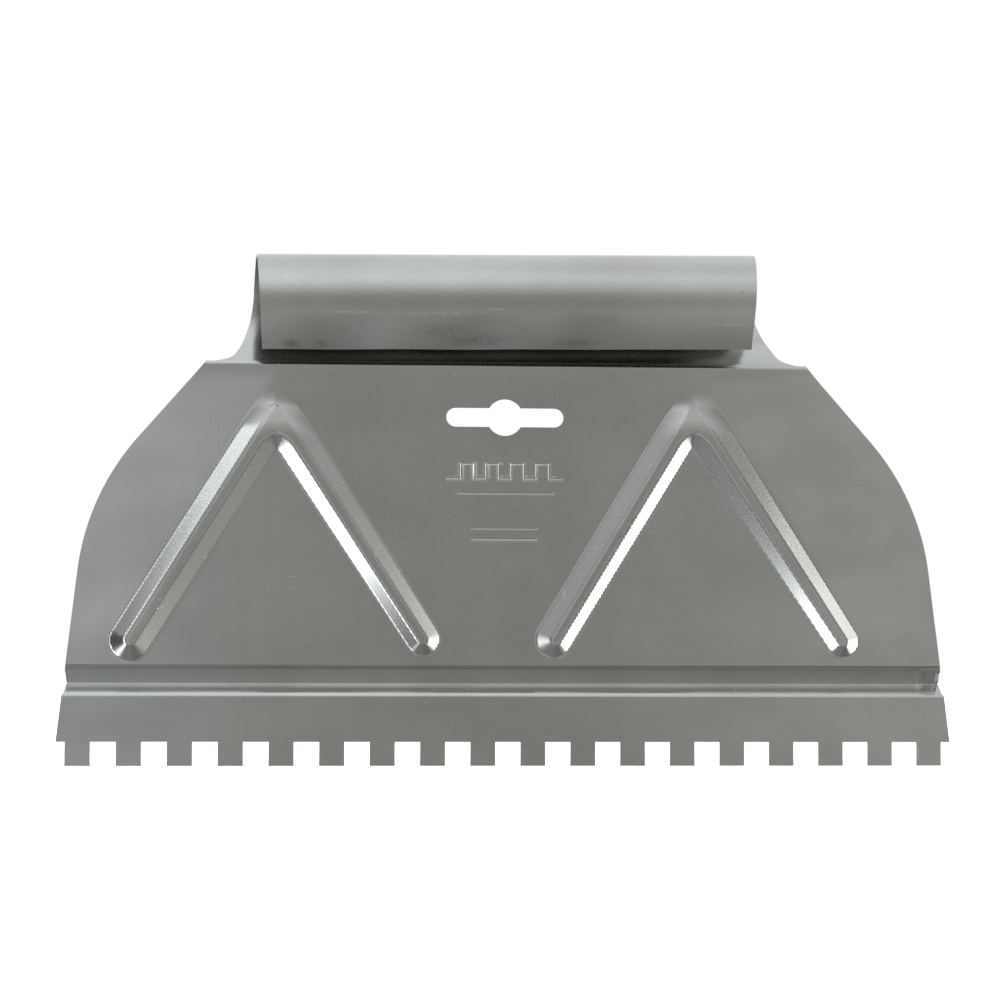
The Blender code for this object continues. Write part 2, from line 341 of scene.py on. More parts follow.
def roll_rows(lean, web_foot):
    """Rows round the handle, from the top of the web to the start of the lip."""
    start = Vector((HANDLE_Y + ROLL_RADIUS * math.cos(lean), HANDLE_Z - ROLL_RADIUS * math.sin(lean)))
    rise = web_foot[0] + (start - Vector(web_foot[1:3])).length
    rows = []
    for i in range(ROLL_STEPS + 1):
        turn = mix(-lean, ROLL_END, i / ROLL_STEPS)
        y = HANDLE_Y + ROLL_RADIUS * math.cos(turn)
        z = HANDLE_Z + ROLL_RADIUS * math.sin(turn)
        rows.append((rise + ROLL_RADIUS * (turn + lean), y, z, -turn))
    return rows


def lip_rows(roll_end):
    """Rows of the lip, down to the free edge."""
    rise, y, z, _ = roll_end
    rows = []
    for i in range(1, LIP_STEPS + 1):
        turn = ROLL_END + LIP_CURL * (i - 0.5) / LIP_STEPS
        y -= math.sin(turn) * LIP / LIP_STEPS
        z += math.cos(turn) * LIP / LIP_STEPS
        rows.append((rise + LIP * i / LIP_STEPS, y, z, -turn))
    return rows


def fold_path():
    """Rows of (rise, y, z, lean) along the middle of the sheet, from the teeth to the free edge.

    The lean is the sheet's angle from upright, positive away from the user."""
    lean = web_angle()
    rows = bead_rows() + bend_rows(lean)
    rows += roll_rows(lean, rows[-1])
    rows += lip_rows(rows[-1])
    return np.array(rows)


PATH = fold_path()
FREE_EDGE = PATH[-1, 0]
LIP_START = PATH[-1 - LIP_STEPS, 0]


# ==== what is pressed into the sheet ====

def leg_line(leg):
    return np.array(leg.apex) * MM, np.array(leg.foot) * MM


def along_leg(points, apex, foot, open_start=False):
    """For each point: share of the way down the leg, distance from it, and side (-1 left, 1 right).

    A leg with an open start runs on past its apex as a straight line."""
    run = foot - apex
    length = np.hypot(*run)
    away = points - apex
    share = np.clip(away @ run / length ** 2, -1.0 if open_start else 0.0, 1.0)
    off = points - (apex + share[:, None] * run)
    distance = np.hypot(off[:, 0], off[:, 1])
    cross = (off[:, 1] * run[0] - off[:, 0] * run[1]) / length
    side = cross / np.maximum(distance, TINY)
    return share, distance, side


def rounded_ramp(t, corner):
    """Straight ramp from 0 to 1 whose two ends are eased over the given share of it."""
    t = np.clip(t, 0.0, 1.0)
    slope = 1 / (1 - corner)
    low = slope * t ** 2 / (2 * corner)
    high = 1 - slope * (1 - t) ** 2 / (2 * corner)
    middle = slope * (t - corner / 2)
    return np.where(t < corner, low, np.where(t > 1 - corner, high, middle))


def leg_reach(points, leg, outward):
    """How far each point is up the outer and the inner wall of a leg: 0 at the bottom, 1 at the top.

    outward is -1 where the leg's outer side, away from the chevron's other leg, is its left one,
    and 1 where it is the right one. Past its apex the leg goes straight on."""
    apex, foot = leg_line(leg)
    share, distance, side = along_leg(points, apex, foot, open_start=True)
    down = share * np.hypot(*(foot - apex))
    share = np.maximum(share, 0.0)
    walls = (leg.left, leg.right) if outward < 0 else (leg.right, leg.left)
    outer, inner = (mix(wall.top, wall.foot, share) * MM for wall in walls)
    width = mix(inner, outer, (side * outward + 1) / 2)
    away = distance * np.sign(side) * outward
    pad = APEX_PAD * (1 - ease(down / APEX_PAD_RUN))
    up_outer = 1 + (CREST_HALF_WIDTH - away) / width
    up_inner = 1 + (CREST_HALF_WIDTH + pad + away) / width
    return up_outer, up_inner


def leg_height(points, leg):
    """Full height of a leg at each point, lower above its apex, where it fades into the plate."""
    apex, foot = leg_line(leg)
    share, _, _ = along_leg(points, apex, foot)
    fade = rounded_ramp((apex[1] + FADE_ABOVE - points[:, 1]) / FADE_RUN, FADE_CORNER)
    return fade * mix(leg.height[0], leg.height[1], share) * MM


def blended(first, second, power):
    """Rounded maximum of two positive values, or their rounded minimum for a negative power."""
    first, second = np.maximum(first, LEAST_REACH), np.maximum(second, LEAST_REACH)
    return (first ** power + second ** power) ** (1 / power)


def rib_height(points):
    """Height of the two chevrons: flat crests between walls, which meet in round feet."""
    total = np.zeros(len(points))
    for left, right in (LEGS[:2], LEGS[2:]):
        left_outer, left_inner = leg_reach(points, left, -1)
        right_outer, right_inner = leg_reach(points, right, 1)
        outer = blended(left_outer, right_outer, -CROTCH_POWER)
        inner = blended(left_inner, right_inner, CROTCH_POWER)
        wall = rounded_ramp(np.minimum(outer, inner) - 2 * LEAST_REACH, WALL_CORNER)
        middle = (left.apex[0] + right.apex[0]) / 2 * MM
        share = ease((points[:, 0] - middle) / (2 * APEX_BLEND) + 0.5)
        total += wall * mix(leg_height(points, left), leg_height(points, right), share)
    return total


def soft_step(value):
    """Zero below zero and the value itself above it, with a soft bend between."""
    return (value + np.sqrt(value ** 2 + PANEL_EDGE ** 2)) / 2


def panel_lean(points):
    """How far the panels outside the outermost ribs stand back.

    A panel is bounded by its rib and, above the rib's apex, by an upright line."""
    back = np.zeros(len(points))
    for leg, outward, tilt in ((LEGS[0], -1, LEFT_TILT), (LEGS[3], 1, RIGHT_TILT)):
        apex, foot = leg_line(leg)
        run = (foot - apex) / np.hypot(*(foot - apex))
        across = np.array((run[1], -run[0])) * -outward
        width = (leg.left if outward < 0 else leg.right).top * MM
        beyond_rib = (points - apex) @ across - width
        beyond_apex = (points[:, 0] - apex[0]) * outward
        back += tilt * soft_step(np.minimum(beyond_rib, beyond_apex))
    rise = points[:, 1]
    fade = ease((rise - PANEL_FADE_START) / PANEL_FADE_RUN) * ease((BEND_RISE - rise) / PANEL_TOP_RUN)
    return back * fade


def mark_strokes():
    """Plain mark, as pairs of ends: a picture of a notched edge, and three rules."""
    middle = HOLE_CENTRE[0]
    x = middle - (2 * MARK_NOTCHES + 1) * MARK_STEP / 2
    row = [(x, MARK_LOW)]
    for _ in range(MARK_NOTCHES):
        left, right = x + MARK_STEP, x + 2 * MARK_STEP
        row += [(left, MARK_LOW), (left, MARK_HIGH), (right, MARK_HIGH), (right, MARK_LOW)]
        x = right
    row.append((x + MARK_STEP, MARK_LOW))
    strokes = list(zip(row, row[1:]))
    for rise, half in MARK_RULES:
        strokes.append(((middle - half, rise), (middle + half, rise)))
    return [(np.array(a), np.array(b)) for a, b in strokes]


def mark_distance(points):
    """Distance of each point from the nearest stroke of the mark."""
    nearest = np.full(len(points), FAR)
    for a, b in mark_strokes():
        _, distance, _ = along_leg(points, a, b)
        nearest = np.minimum(nearest, distance)
    return nearest


def pressed(points):
    """Displacement of the sheet towards the user at each point of the blank."""
    up = rib_height(points) - panel_lean(points)
    up -= MARK_DEPTH * np.clip(1 - mark_distance(points) / MARK_HALF_WIDTH, 0, 1)
    return up


def crimped(y, x, rise):
    """The bead's depth y, with its right end pressed flatter and pinched into pleats."""
    low, high = BEAD[0][1], BEAD[-1][1]
    in_bead = ease((rise - low) / MM) * ease((high - rise) / MM)
    crimp = ease((x - CRIMP_START) / CRIMP_RUN) * in_bead
    pleats = np.sin((rise - low) / (high - low) * 2 * math.pi * PLEAT_COUNT) * PLEAT_HEIGHT
    return mix(y, y * CRIMP_DEPTH + pleats, crimp)


def shaped(points):
    """Where points of the blank end up on the middle of the folded sheet."""
    x, rise = points[:, 0], points[:, 1]
    y = np.interp(rise, PATH[:, 0], PATH[:, 1])
    z = np.interp(rise, PATH[:, 0], PATH[:, 2])
    lean = np.interp(rise, PATH[:, 0], PATH[:, 3])
    y = crimped(y, x, rise)
    tip = np.maximum(rise - LIP_START, 0.0)
    swing = 0.5 - 0.5 * np.sin(x / LIP_WAVE_LENGTH * 2 * math.pi + LIP_WAVE_PHASE)
    y = y + tip * np.sin(LIP_WAVE * swing * ease(-x / LIP_WAVE_FADE + 1.0))
    up = pressed(points)
    place = np.column_stack((x, y - up * np.cos(lean), z + up * np.sin(lean)))
    place[:, 0] += HANDLE_DRIFT * np.clip((rise - DRIFT_START) / DRIFT_RUN, 0, 1)
    place[:, 2] += HANDLE_SKEW * place[:, 0] * np.clip((rise - BEND_RISE) / SKEW_RUN, 0, 1)
    return place


def front_normals(points):
    """Normal of the folded sheet, pointing out of the side that faces the user on the plate."""
    steps = np.array(((SLOPE_STEP, 0.0), (0.0, SLOPE_STEP)))
    across = shaped(points + steps[0]) - shaped(points - steps[0])
    upward = shaped(points + steps[1]) - shaped(points - steps[1])
    return unit(np.cross(across, upward))


def blank_mesh():
    """Points and triangles of the flat blank, finer on the ribs, with rows along every fold."""
    edge = stepped(outline(FREE_EDGE), EDGE_STEP)
    hole = stepped(hanging_hole(), EDGE_STEP)
    points, lines = [], []
    for loop in (edge, hole):
        first = len(points)
        points += loop
        lines += [(first + i, first + (i + 1) % len(loop)) for i in range(len(loop))]
    for a, b in mark_strokes():
        run = (b - a) / np.hypot(*(b - a))
        across = np.array((-run[1], run[0])) * MARK_HALF_WIDTH
        for shift in (-1, 0, 1):
            first = len(points)
            points += [Vector(a + across * shift), Vector(b + across * shift)]
            lines.append((first, first + 1))
    reach = HALF_WIDTH * ROW_OVERHANG
    for rise in PATH[1:-1, 0]:
        first = len(points)
        points += [Vector((-reach, rise)), Vector((reach, rise))]
        lines.append((first, first + 1))
    points += [Vector(p) for p in filling_points(edge, hole)]
    flat, _, faces, _, _, _ = delaunay_2d_cdt(points, lines, [], 0, ON_LINE)
    flat = np.array([tuple(p) for p in flat])
    faces = np.array([tuple(f) for f in faces])
    middle = flat[faces].mean(axis=1)
    faces = faces[inside(middle, edge) & ~inside(middle, hole)]
    used, faces = np.unique(faces, return_inverse=True)
    return flat[used], faces.reshape(-1, 3)


def grid(x_step, rises, half_width):
    """Points at even steps across the tool, at each of the given rises."""
    count = int(half_width / x_step)
    xs = np.arange(-count, count + 1) * x_step
    return np.array([(x, rise) for rise in rises for x in xs])


def near_ribs(points):
    nearest = np.full(len(points), FAR)
    for leg in LEGS:
        _, distance, _ = along_leg(points, *leg_line(leg))
        nearest = np.minimum(nearest, distance)
    return nearest < RIB_MARGIN


def filling_points(edge, hole):
    """Points inside the blank: a plain grid, a finer one on the ribs, and points on the fold rows."""
    plate_rises = np.arange(1, int(BEND_RISE / PLATE_STEP)) * PLATE_STEP
    in_bead = (plate_rises > BEAD[0][1] - MM) & (plate_rises < BEAD[-1][1] + MM)
    plate = grid(PLATE_STEP, plate_rises[~in_bead], HALF_WIDTH)
    fine = grid(RIB_STEP, np.arange(*RIB_RISES, RIB_STEP), HALF_WIDTH)
    low_rows = [rise for rise in PATH[1:, 0] if rise < BEND_RISE]
    tongue_rows = [rise for rise in PATH[1:-1, 0] if rise >= BEND_RISE]
    bead = grid(BEAD_STEP, low_rows, HALF_WIDTH)
    tongue = grid(HANDLE_STEP, tongue_rows, TONGUE_ROOT_HALF_WIDTH)
    crimp = grid(CRIMP_STEP, low_rows, HALF_WIDTH)
    crimp = crimp[crimp[:, 0] > CRIMP_START - MM]
    kept = np.vstack((plate[~near_ribs(plate)], fine[near_ribs(fine)], bead, tongue, crimp))
    return kept[inside(kept, edge) & ~inside(kept, hole)]


def unit(vectors):
    return vectors / np.linalg.norm(vectors, axis=1)[:, None]


def build_sheet():
    """The folded sheet as one mesh: a front and a back skin, joined by a chamfered rim."""
    flat, faces = blank_mesh()
    corner = flat[faces]
    turn = np.cross(corner[:, 1] - corner[:, 0], corner[:, 2] - corner[:, 0])
    faces[turn < 0] = faces[turn < 0][:, ::-1]
    rim_next = boundary(faces)
    rim = np.array(sorted(rim_next))
    outward = rim_outward(flat, rim_next)

    drawn_in = flat.copy()
    drawn_in[rim] -= outward[rim] * EDGE_CHAMFER
    skin, skin_normal = shaped(drawn_in), front_normals(flat)
    ring, across = shaped(flat[rim]), skin_normal[rim]
    half, ring_half = SHEET / 2, SHEET / 2 - EDGE_CHAMFER
    place = np.vstack((skin + skin_normal * half, skin - skin_normal * half,
                       ring + across * ring_half, ring - across * ring_half))
    probe = outward[rim] * SLOPE_STEP
    ring_normal = unit(shaped(flat[rim] + probe) - shaped(flat[rim] - probe))
    normal = np.vstack((skin_normal, -skin_normal, ring_normal, ring_normal))
    blank = np.vstack((flat, flat, flat[rim], flat[rim]))

    polygons = [tuple(face) for face in faces]
    polygons += [tuple(face[::-1] + len(flat)) for face in faces]
    polygons += rim_faces(rim, rim_next, len(flat))
    mesh = bpy.data.meshes.new("steel_sheet")
    mesh.from_pydata([tuple(point) for point in place], [], polygons)
    mesh.shade_smooth()
    add_blank_uv(mesh, blank)
    set_normals(mesh, normal, blank)
    return mesh


def rim_faces(rim, rim_next, count):
    """Quads along the cut edge, from the front skin over two rings to the back skin."""
    ring = {vertex: i for i, vertex in enumerate(rim)}

    def levels(vertex):
        front_ring = 2 * count + ring[vertex]
        return vertex, front_ring, front_ring + len(rim), count + vertex

    quads = []
    for start, end in rim_next.items():
        first, last = levels(start), levels(end)
        for i in range(3):
            quads.append((last[i], first[i], first[i + 1], last[i + 1]))
    return quads


def boundary(faces):
    """For each vertex on the rim of a triangle mesh, the next one along the rim."""
    edges = set()
    for a, b, c in faces:
        for pair in ((a, b), (b, c), (c, a)):
            if pair[::-1] in edges:
                edges.discard(pair[::-1])
            else:
                edges.add(pair)
    return dict(edges)


def rim_outward(flat, rim_next):
    """Outward direction in the blank at each rim vertex, mitred at corners."""
    outward = np.zeros_like(flat)
    rim_before = {b: a for a, b in rim_next.items()}
    for vertex, after in rim_next.items():
        before = rim_before[vertex]
        first = flat[vertex] - flat[before]
        second = flat[after] - flat[vertex]
        first = first / np.hypot(*first)
        second = second / np.hypot(*second)
        mitre = np.array((first[1] + second[1], -first[0] - second[0]))
        mitre = mitre / max(np.hypot(*mitre), TINY)
        spread = max(mitre @ np.array((second[1], -second[0])), MITRE_LIMIT)
        outward[vertex] = mitre / spread
    return outward


def add_blank_uv(mesh, blank):
    """UV map that holds each corner's place on the blank, in millimetres."""
    layer = mesh.uv_layers.new(name="blank")
    corners = np.empty(len(mesh.loops), int)
    mesh.loops.foreach_get("vertex_index", corners)
    layer.data.foreach_set("uv", (blank[corners] / MM).ravel())


def set_normals(mesh, smooth, blank):
    """Normals worked out from the shape itself, and plain facets on the engraved mark."""
    corners = np.empty(len(mesh.loops), int)
    mesh.loops.foreach_get("vertex_index", corners)
    normals = smooth[corners]
    engraved = mark_distance(blank) < MARK_HALF_WIDTH * MARK_MARGIN
    face_normal = np.empty(len(mesh.polygons) * 3)
    mesh.polygons.foreach_get("normal", face_normal)
    face_normal = face_normal.reshape(-1, 3)
    for polygon in mesh.polygons:
        if all(engraved[v] for v in polygon.vertices):
            for corner in polygon.loop_indices:
                normals[corner] = face_normal[polygon.index]
    mesh.normals_split_custom_set([tuple(n) for n in normals])


# ==== node helpers ====

class Nodes:
    """Short calls for building a shader: each one adds a node and returns its output."""

    def __init__(self, tree):
        self.tree = tree

    def add(self, kind, **settings):
        node = self.tree.nodes.new(kind)
        for name, value in settings.items():
            setattr(node, name, value)
        return node

    def feed(self, socket, value):
        if isinstance(value, bpy.types.NodeSocket):
            self.tree.links.new(value, socket)
        else:
            socket.default_value = value

    def math(self, operation, first, second=0.0):
        node = self.add("ShaderNodeMath", operation=operation)
        self.feed(node.inputs[0], first)
        self.feed(node.inputs[1], second)
        return node.outputs[0]

    def times(self, *factors):
        return functools.reduce(lambda a, b: self.math("MULTIPLY", a, b), factors)

    def plus(self, *terms):
        return functools.reduce(lambda a, b: self.math("ADD", a, b), terms)

    def strongest(self, *layers):
        return functools.reduce(lambda a, b: self.math("MAXIMUM", a, b), layers)

    def one_less(self, value):
        """1 minus the value."""
        return self.math("SUBTRACT", 1.0, value)

    def around_one(self, pattern, swing):
        """A pattern of 0 to 1 as a factor around 1, with the given full swing."""
        return self.plus(self.times(pattern, swing), 1.0 - swing / 2)

    def ramp(self, value, low, high, start=0.0, end=1.0, smooth=True):
        """Value mapped from low..high to start..end, held at both ends."""
        node = self.add("ShaderNodeMapRange")
        node.interpolation_type = "SMOOTHSTEP" if smooth else "LINEAR"
        for socket, number in zip(node.inputs, (value, low, high, start, end)):
            self.feed(socket, number)
        return node.outputs[0]

    def mix(self, share, first, second):
        """One colour turning into another as share goes from 0 to 1."""
        node = self.add("ShaderNodeMix", data_type="RGBA")
        self.feed(node.inputs["Factor"], share)
        self.feed(node.inputs[6], first)
        self.feed(node.inputs[7], second)
        return node.outputs[2]

    def noise(self, vector, scale, detail=2.0, roughness=0.5, seed=0.0):
        node = self.add("ShaderNodeTexNoise", noise_dimensions="4D")
        self.feed(node.inputs["Vector"], vector)
        self.feed(node.inputs["W"], seed)
        self.feed(node.inputs["Scale"], scale)
        self.feed(node.inputs["Detail"], detail)
        self.feed(node.inputs["Roughness"], roughness)
        return node.outputs["Fac"]

    def stretch(self, vector, scale, turn=0.0):
        """Vector turned about Z, and then scaled along the turned axes."""
        if turn:
            vector = self.turned(vector, turn)
        node = self.add("ShaderNodeMapping")
        self.feed(node.inputs["Vector"], vector)
        node.inputs["Scale"].default_value = scale
        return node.outputs[0]

    def turned(self, vector, angle):
        node = self.add("ShaderNodeVectorRotate", rotation_type="Z_AXIS")
        self.feed(node.inputs["Vector"], vector)
        node.inputs["Angle"].default_value = -angle
        return node.outputs[0]

    def spot(self, vector, centre, size, turn=0.0):
        """1 at the centre of an ellipse, fading to 0 at its edge. Sizes are its half-lengths."""
        moved = self.add("ShaderNodeVectorMath", operation="SUBTRACT")
        self.feed(moved.inputs[0], vector)
        moved.inputs[1].default_value = (centre[0], centre[1], 0.0)
        scaled = self.stretch(moved.outputs[0], (1 / size[0], 1 / size[1], 0.0), turn)
        length = self.add("ShaderNodeVectorMath", operation="LENGTH")
        self.feed(length.inputs[0], scaled)
        return self.ramp(length.outputs["Value"], 1.0, 0.0)

    def spots(self, vector, marks):
        """The strongest of many spots, each (centre, half-lengths, turn, strength)."""
        return self.strongest(*(self.times(self.spot(vector, centre, size, turn), strength)
                                for centre, size, turn, strength in marks))


# ==== the steel ====

STEEL_COLOUR = (0.597, 0.612, 0.586, 1.0)
STEEL_DULL = (0.530, 0.544, 0.518, 1.0)
# Colour of the darker marks: dirt marks, and painted shade.
SMUDGE_AND_SHADE = (0.10, 0.10, 0.095, 1.0)
# Colour of the light places: wear, and painted highlights and glints.
WORN_AND_SHEEN = (0.95, 0.95, 0.94, 1.0)
SPECKLE_SHADE = 0.20          # full swing of brightness with each pattern
GRAIN_SHADE = 0.14
COLUMN_SHADE = 0.08
STEEL_ROUGHNESS = 0.14
GRAIN_ROUGHNESS = 0.06        # full swing of roughness with the grain
DULL_ROUGHNESS = 0.03         # added where the steel is dull
WORN_AND_SHEEN_ROUGHNESS = 0.55
STEEL_ANISOTROPY = 0.3
ACROSS_GRAIN = 0.25           # a quarter turn from the tangent
BUMP_DISTANCE = 0.009 * MM
GRAIN_BUMP = 0.6              # share of that distance that each pattern stands proud,
SPECKLE_BUMP = 0.6
WORN_AND_SHEEN_BUMP = -0.5              # or is sunk in

# Places of wear and painted highlights: each pattern appears between two levels of its noise, and then is
# this strong.
SCRATCH_RANGE = (0.73, 0.79)
SCRATCH_STRENGTH = 0.45
SCRATCH_LAYERS = ((0.02, 4), (0.5, 14), (-0.9, 24), (1.4, 34))    # direction in radians, seed
FLECK_RANGE = (0.77, 0.80)
FLECK_STRENGTH = 0.6
# the painted bend highlight shows between these levels of its noise
BEND_HIGHLIGHT_RANGE = (0.50, 0.60)
DULL_RANGE = (0.35, 0.70)
SMUDGE_AND_SHADE_RANGE = (0.32, 0.62)
SMUDGE_AND_SHADE_LEAST = 0.25            # a dark mark is nowhere weaker than this share of its strength
# The frosting is painted as darker specks, which break up and dim the highlights on the frosted walls.
FROST_AND_SHADE_RANGE = (0.62, 0.40)    # frost shows where the speckle is low
FROST_SHADE = 0.30            # and takes this share of the brightness there

# Marks on the blank, in millimetres: centre, half-lengths, turn in radians, strength.
EDGE_MM = FREE_EDGE / MM
LIP_MM = LIP_START / MM
# Darker marks painted on the blank. Those along the lip's free edge are dirt marks. The broad band under
# them and the blob at the right chevron's apex are painted shade. The rest are small dark streaks.
DARK_MARKS = (
    ((-54.5, EDGE_MM - 1.4), (3.2, 2.0), 0.0, 0.55),
    ((-47.0, EDGE_MM - 1.6), (2.6, 1.6), 0.0, 0.35),
    ((-8.0, EDGE_MM - 2.4), (14.0, 2.6), 0.0, 0.35),
    ((17.0, EDGE_MM - 1.8), (9.0, 1.8), 0.0, 0.30),
    ((-18.0, EDGE_MM - 4.6), (11.0, 3.0), 0.0, 0.22),
    ((58.7, LIP_MM - 5.0), (0.65, 0.28), 1.1, 1.0),
    ((59.3, LIP_MM - 5.2), (0.50, 0.25), 0.9, 1.0),
    ((-60.0, 90.7), (1.10, 0.30), 0.5, 0.75),
    ((-58.7, 90.6), (0.90, 0.28), -0.6, 0.75),
    ((47.0, 91.5), (2.4, 1.9), 0.0, 0.22),
    ((49.0, 91.0), (0.7, 0.25), 0.8, 0.6),
    ((31.6, 62.6), (1.9, 0.22), 1.0, 0.9),
    ((30.0, 59.4), (2.1, 0.20), 1.25, 0.85),
    ((28.4, 58.0), (1.4, 0.20), 0.7, 0.8),
)
# Lighter marks painted on the blank: small rubbed spots, and two thin upright lines near the right end of
# the teeth that are painted glints of the cut edge.
BRIGHT_MARKS = (
    ((-87.6, 41.6), (0.42, 0.30), 0.3, 1.0),
    ((-88.3, 39.4), (0.40, 0.26), 0.0, 1.0),
    ((27.2, 54.8), (0.50, 0.25), 0.9, 0.9),
    ((25.6, 52.9), (0.40, 0.25), 0.4, 0.8),
    ((106.0, 13.2), (0.16, 2.4), -0.35, 0.55),
    ((105.2, 3.2), (0.22, 2.9), 0.0, 0.9),
    ((-6.0, 101.6), (0.30, 0.20), 0.0, 0.9),
    ((-14.0, 99.2), (1.1, 0.12), -0.8, 0.6),
    ((14.0, 98.6), (0.9, 0.12), 0.6, 0.5),
)
# The outer walls of the outermost legs are frosted by the press; the frosting is painted as darker specks
# that dim the highlights on those walls.
FROSTED_SHADED_WALLS = (
    ((-79.9, 61.9), (38.0, 3.8), 1.012, 1.0),
    ((69.4, 62.6), (38.0, 4.2), -0.991, 1.0),
)
# A painted highlight along the bend above the lip, broken into flecks along a few stretches.
PAINTED_BEND_HIGHLIGHT = (
    ((-38.5, LIP_MM), (8.0, 0.55), 0.0, 1.0),
    ((-20.0, LIP_MM + 0.2), (26.0, 0.40), 0.0, 0.55),
    ((56.0, LIP_MM + 2.9), (8.5, 0.50), 0.0, 0.9),
    ((-4.0, LIP_MM - 0.8), (5.0, 0.40), 0.0, 0.55),
)


def scratches(n, blank):
    """Short fine scratches lying in a few directions, 0 to 1."""
    layers = []
    for turn, seed in SCRATCH_LAYERS:
        field = n.noise(n.stretch(blank, (0.25, 4.5, 1.0), turn), scale=1.0, detail=1, seed=seed)
        layers.append(n.ramp(field, *SCRATCH_RANGE))
    return n.strongest(*layers)


def worn_and_sheen_places(n, blank):
    """Places painted light, 0 to 1: scratches and flecks of wear, single dents and painted glints, and a
    painted highlight along the bend above the lip.
    """
    flecks = n.ramp(n.noise(blank, scale=1.7, detail=1, seed=5), *FLECK_RANGE)
    crumbs = n.noise(n.stretch(blank, (1.0, 2.0, 1.0)), scale=1.9, detail=2, roughness=0.6, seed=6)
    return n.strongest(n.times(scratches(n, blank), SCRATCH_STRENGTH),
                       n.times(flecks, FLECK_STRENGTH),
                       # painted highlight along the bend above the lip, broken into flecks
                       n.times(n.spots(blank, PAINTED_BEND_HIGHLIGHT), n.ramp(crumbs, *BEND_HIGHLIGHT_RANGE)),
                       n.spots(blank, BRIGHT_MARKS))


def steel_colour(n, blank, grain, speckle, dull, worn_and_sheen):
    """Grey steel, lighter and darker with each pattern, with darker marks (dirt marks and painted shade),
    darker specks painted to dim the highlights on the frosted walls, and light places (wear, and painted
    highlights and glints).
    """
    columns = n.noise(n.stretch(blank, (0.16, 0.02, 1.0)), scale=1.0, detail=2, seed=8)
    # painted shade: darker specks that dim the highlights on the frosted outer walls
    frost_and_shade = n.times(n.spots(blank, FROSTED_SHADED_WALLS), n.ramp(speckle, *FROST_AND_SHADE_RANGE))
    shade = n.times(n.around_one(speckle, SPECKLE_SHADE), n.around_one(grain, GRAIN_SHADE),
                    n.around_one(columns, COLUMN_SHADE), n.one_less(n.times(frost_and_shade, FROST_SHADE)))
    tinted = n.add("ShaderNodeVectorMath", operation="SCALE")
    n.feed(tinted.inputs[0], n.mix(dull, STEEL_COLOUR, STEEL_DULL))
    n.feed(tinted.inputs["Scale"], shade)
    mark_mottle = n.noise(blank, scale=0.9, detail=3, roughness=0.65, seed=9)
    # darker marks: dirt marks, and painted shade on the lower lip and at the right chevron's apex
    smudge_and_shade = n.times(n.spots(blank, DARK_MARKS), n.ramp(mark_mottle, *SMUDGE_AND_SHADE_RANGE, SMUDGE_AND_SHADE_LEAST, 1.0))
    return n.mix(worn_and_sheen, n.mix(smudge_and_shade, tinted.outputs[0], SMUDGE_AND_SHADE), WORN_AND_SHEEN)


def steel_bump(n, grain, speckle, worn_and_sheen):
    """Normal that is roughened a little by the grain and the speckle, and cut by the scratches."""
    height = n.plus(n.times(grain, GRAIN_BUMP), n.times(speckle, SPECKLE_BUMP),
                    n.times(worn_and_sheen, WORN_AND_SHEEN_BUMP))
    bump = n.add("ShaderNodeBump")
    bump.inputs["Strength"].default_value = 1.0
    bump.inputs["Distance"].default_value = BUMP_DISTANCE
    n.feed(bump.inputs["Height"], height)
    return bump.outputs[0]


def steel_material():
    """Rolled bright steel. Its patterns are laid out in millimetres on the flat blank."""
    material = bpy.data.materials.new("bright_steel")
    material.use_nodes = True
    shader = material.node_tree.nodes["Principled BSDF"]
    n = Nodes(material.node_tree)
    blank = n.add("ShaderNodeUVMap", uv_map="blank").outputs[0]
    tangent = n.add("ShaderNodeTangent", direction_type="UV_MAP", uv_map="blank")

    grain = n.noise(n.stretch(blank, (0.35, 4.0, 1.0)), scale=1.0, detail=3, roughness=0.6, seed=1)
    speckle = n.noise(blank, scale=2.6, detail=3, roughness=0.7, seed=2)
    cloud = n.noise(n.stretch(blank, (0.6, 1.0, 1.0)), scale=0.05, detail=4, roughness=0.55, seed=3)
    dull = n.ramp(cloud, *DULL_RANGE)
    worn_and_sheen = worn_and_sheen_places(n, blank)
    rough = n.plus(n.times(grain, GRAIN_ROUGHNESS), STEEL_ROUGHNESS - GRAIN_ROUGHNESS / 2,
                   n.times(dull, DULL_ROUGHNESS))

    n.feed(shader.inputs["Base Color"], steel_colour(n, blank, grain, speckle, dull, worn_and_sheen))
    n.feed(shader.inputs["Metallic"], 1.0)
    n.feed(shader.inputs["Roughness"], n.ramp(worn_and_sheen, 0.0, 1.0, rough, WORN_AND_SHEEN_ROUGHNESS, smooth=False))
    n.feed(shader.inputs["Anisotropic"], STEEL_ANISOTROPY)
    n.feed(shader.inputs["Anisotropic Rotation"], ACROSS_GRAIN)
    n.feed(shader.inputs["Tangent"], tangent.outputs[0])
    n.feed(shader.inputs["Normal"], steel_bump(n, grain, speckle, worn_and_sheen))
    return material


# ==== the studio ====

AIM_OFFSET = Vector((-2.1 * MM, 0.0, 2.1 * MM))
CAMERA_DISTANCE = 0.8
CAMERA_AZIMUTH = math.radians(-4.97)
CAMERA_ELEVATION = math.radians(-2.90)
CAMERA_ROLL = math.radians(0.145)
CAMERA_LENS = 113.5
CAMERA_SENSOR = 36.0

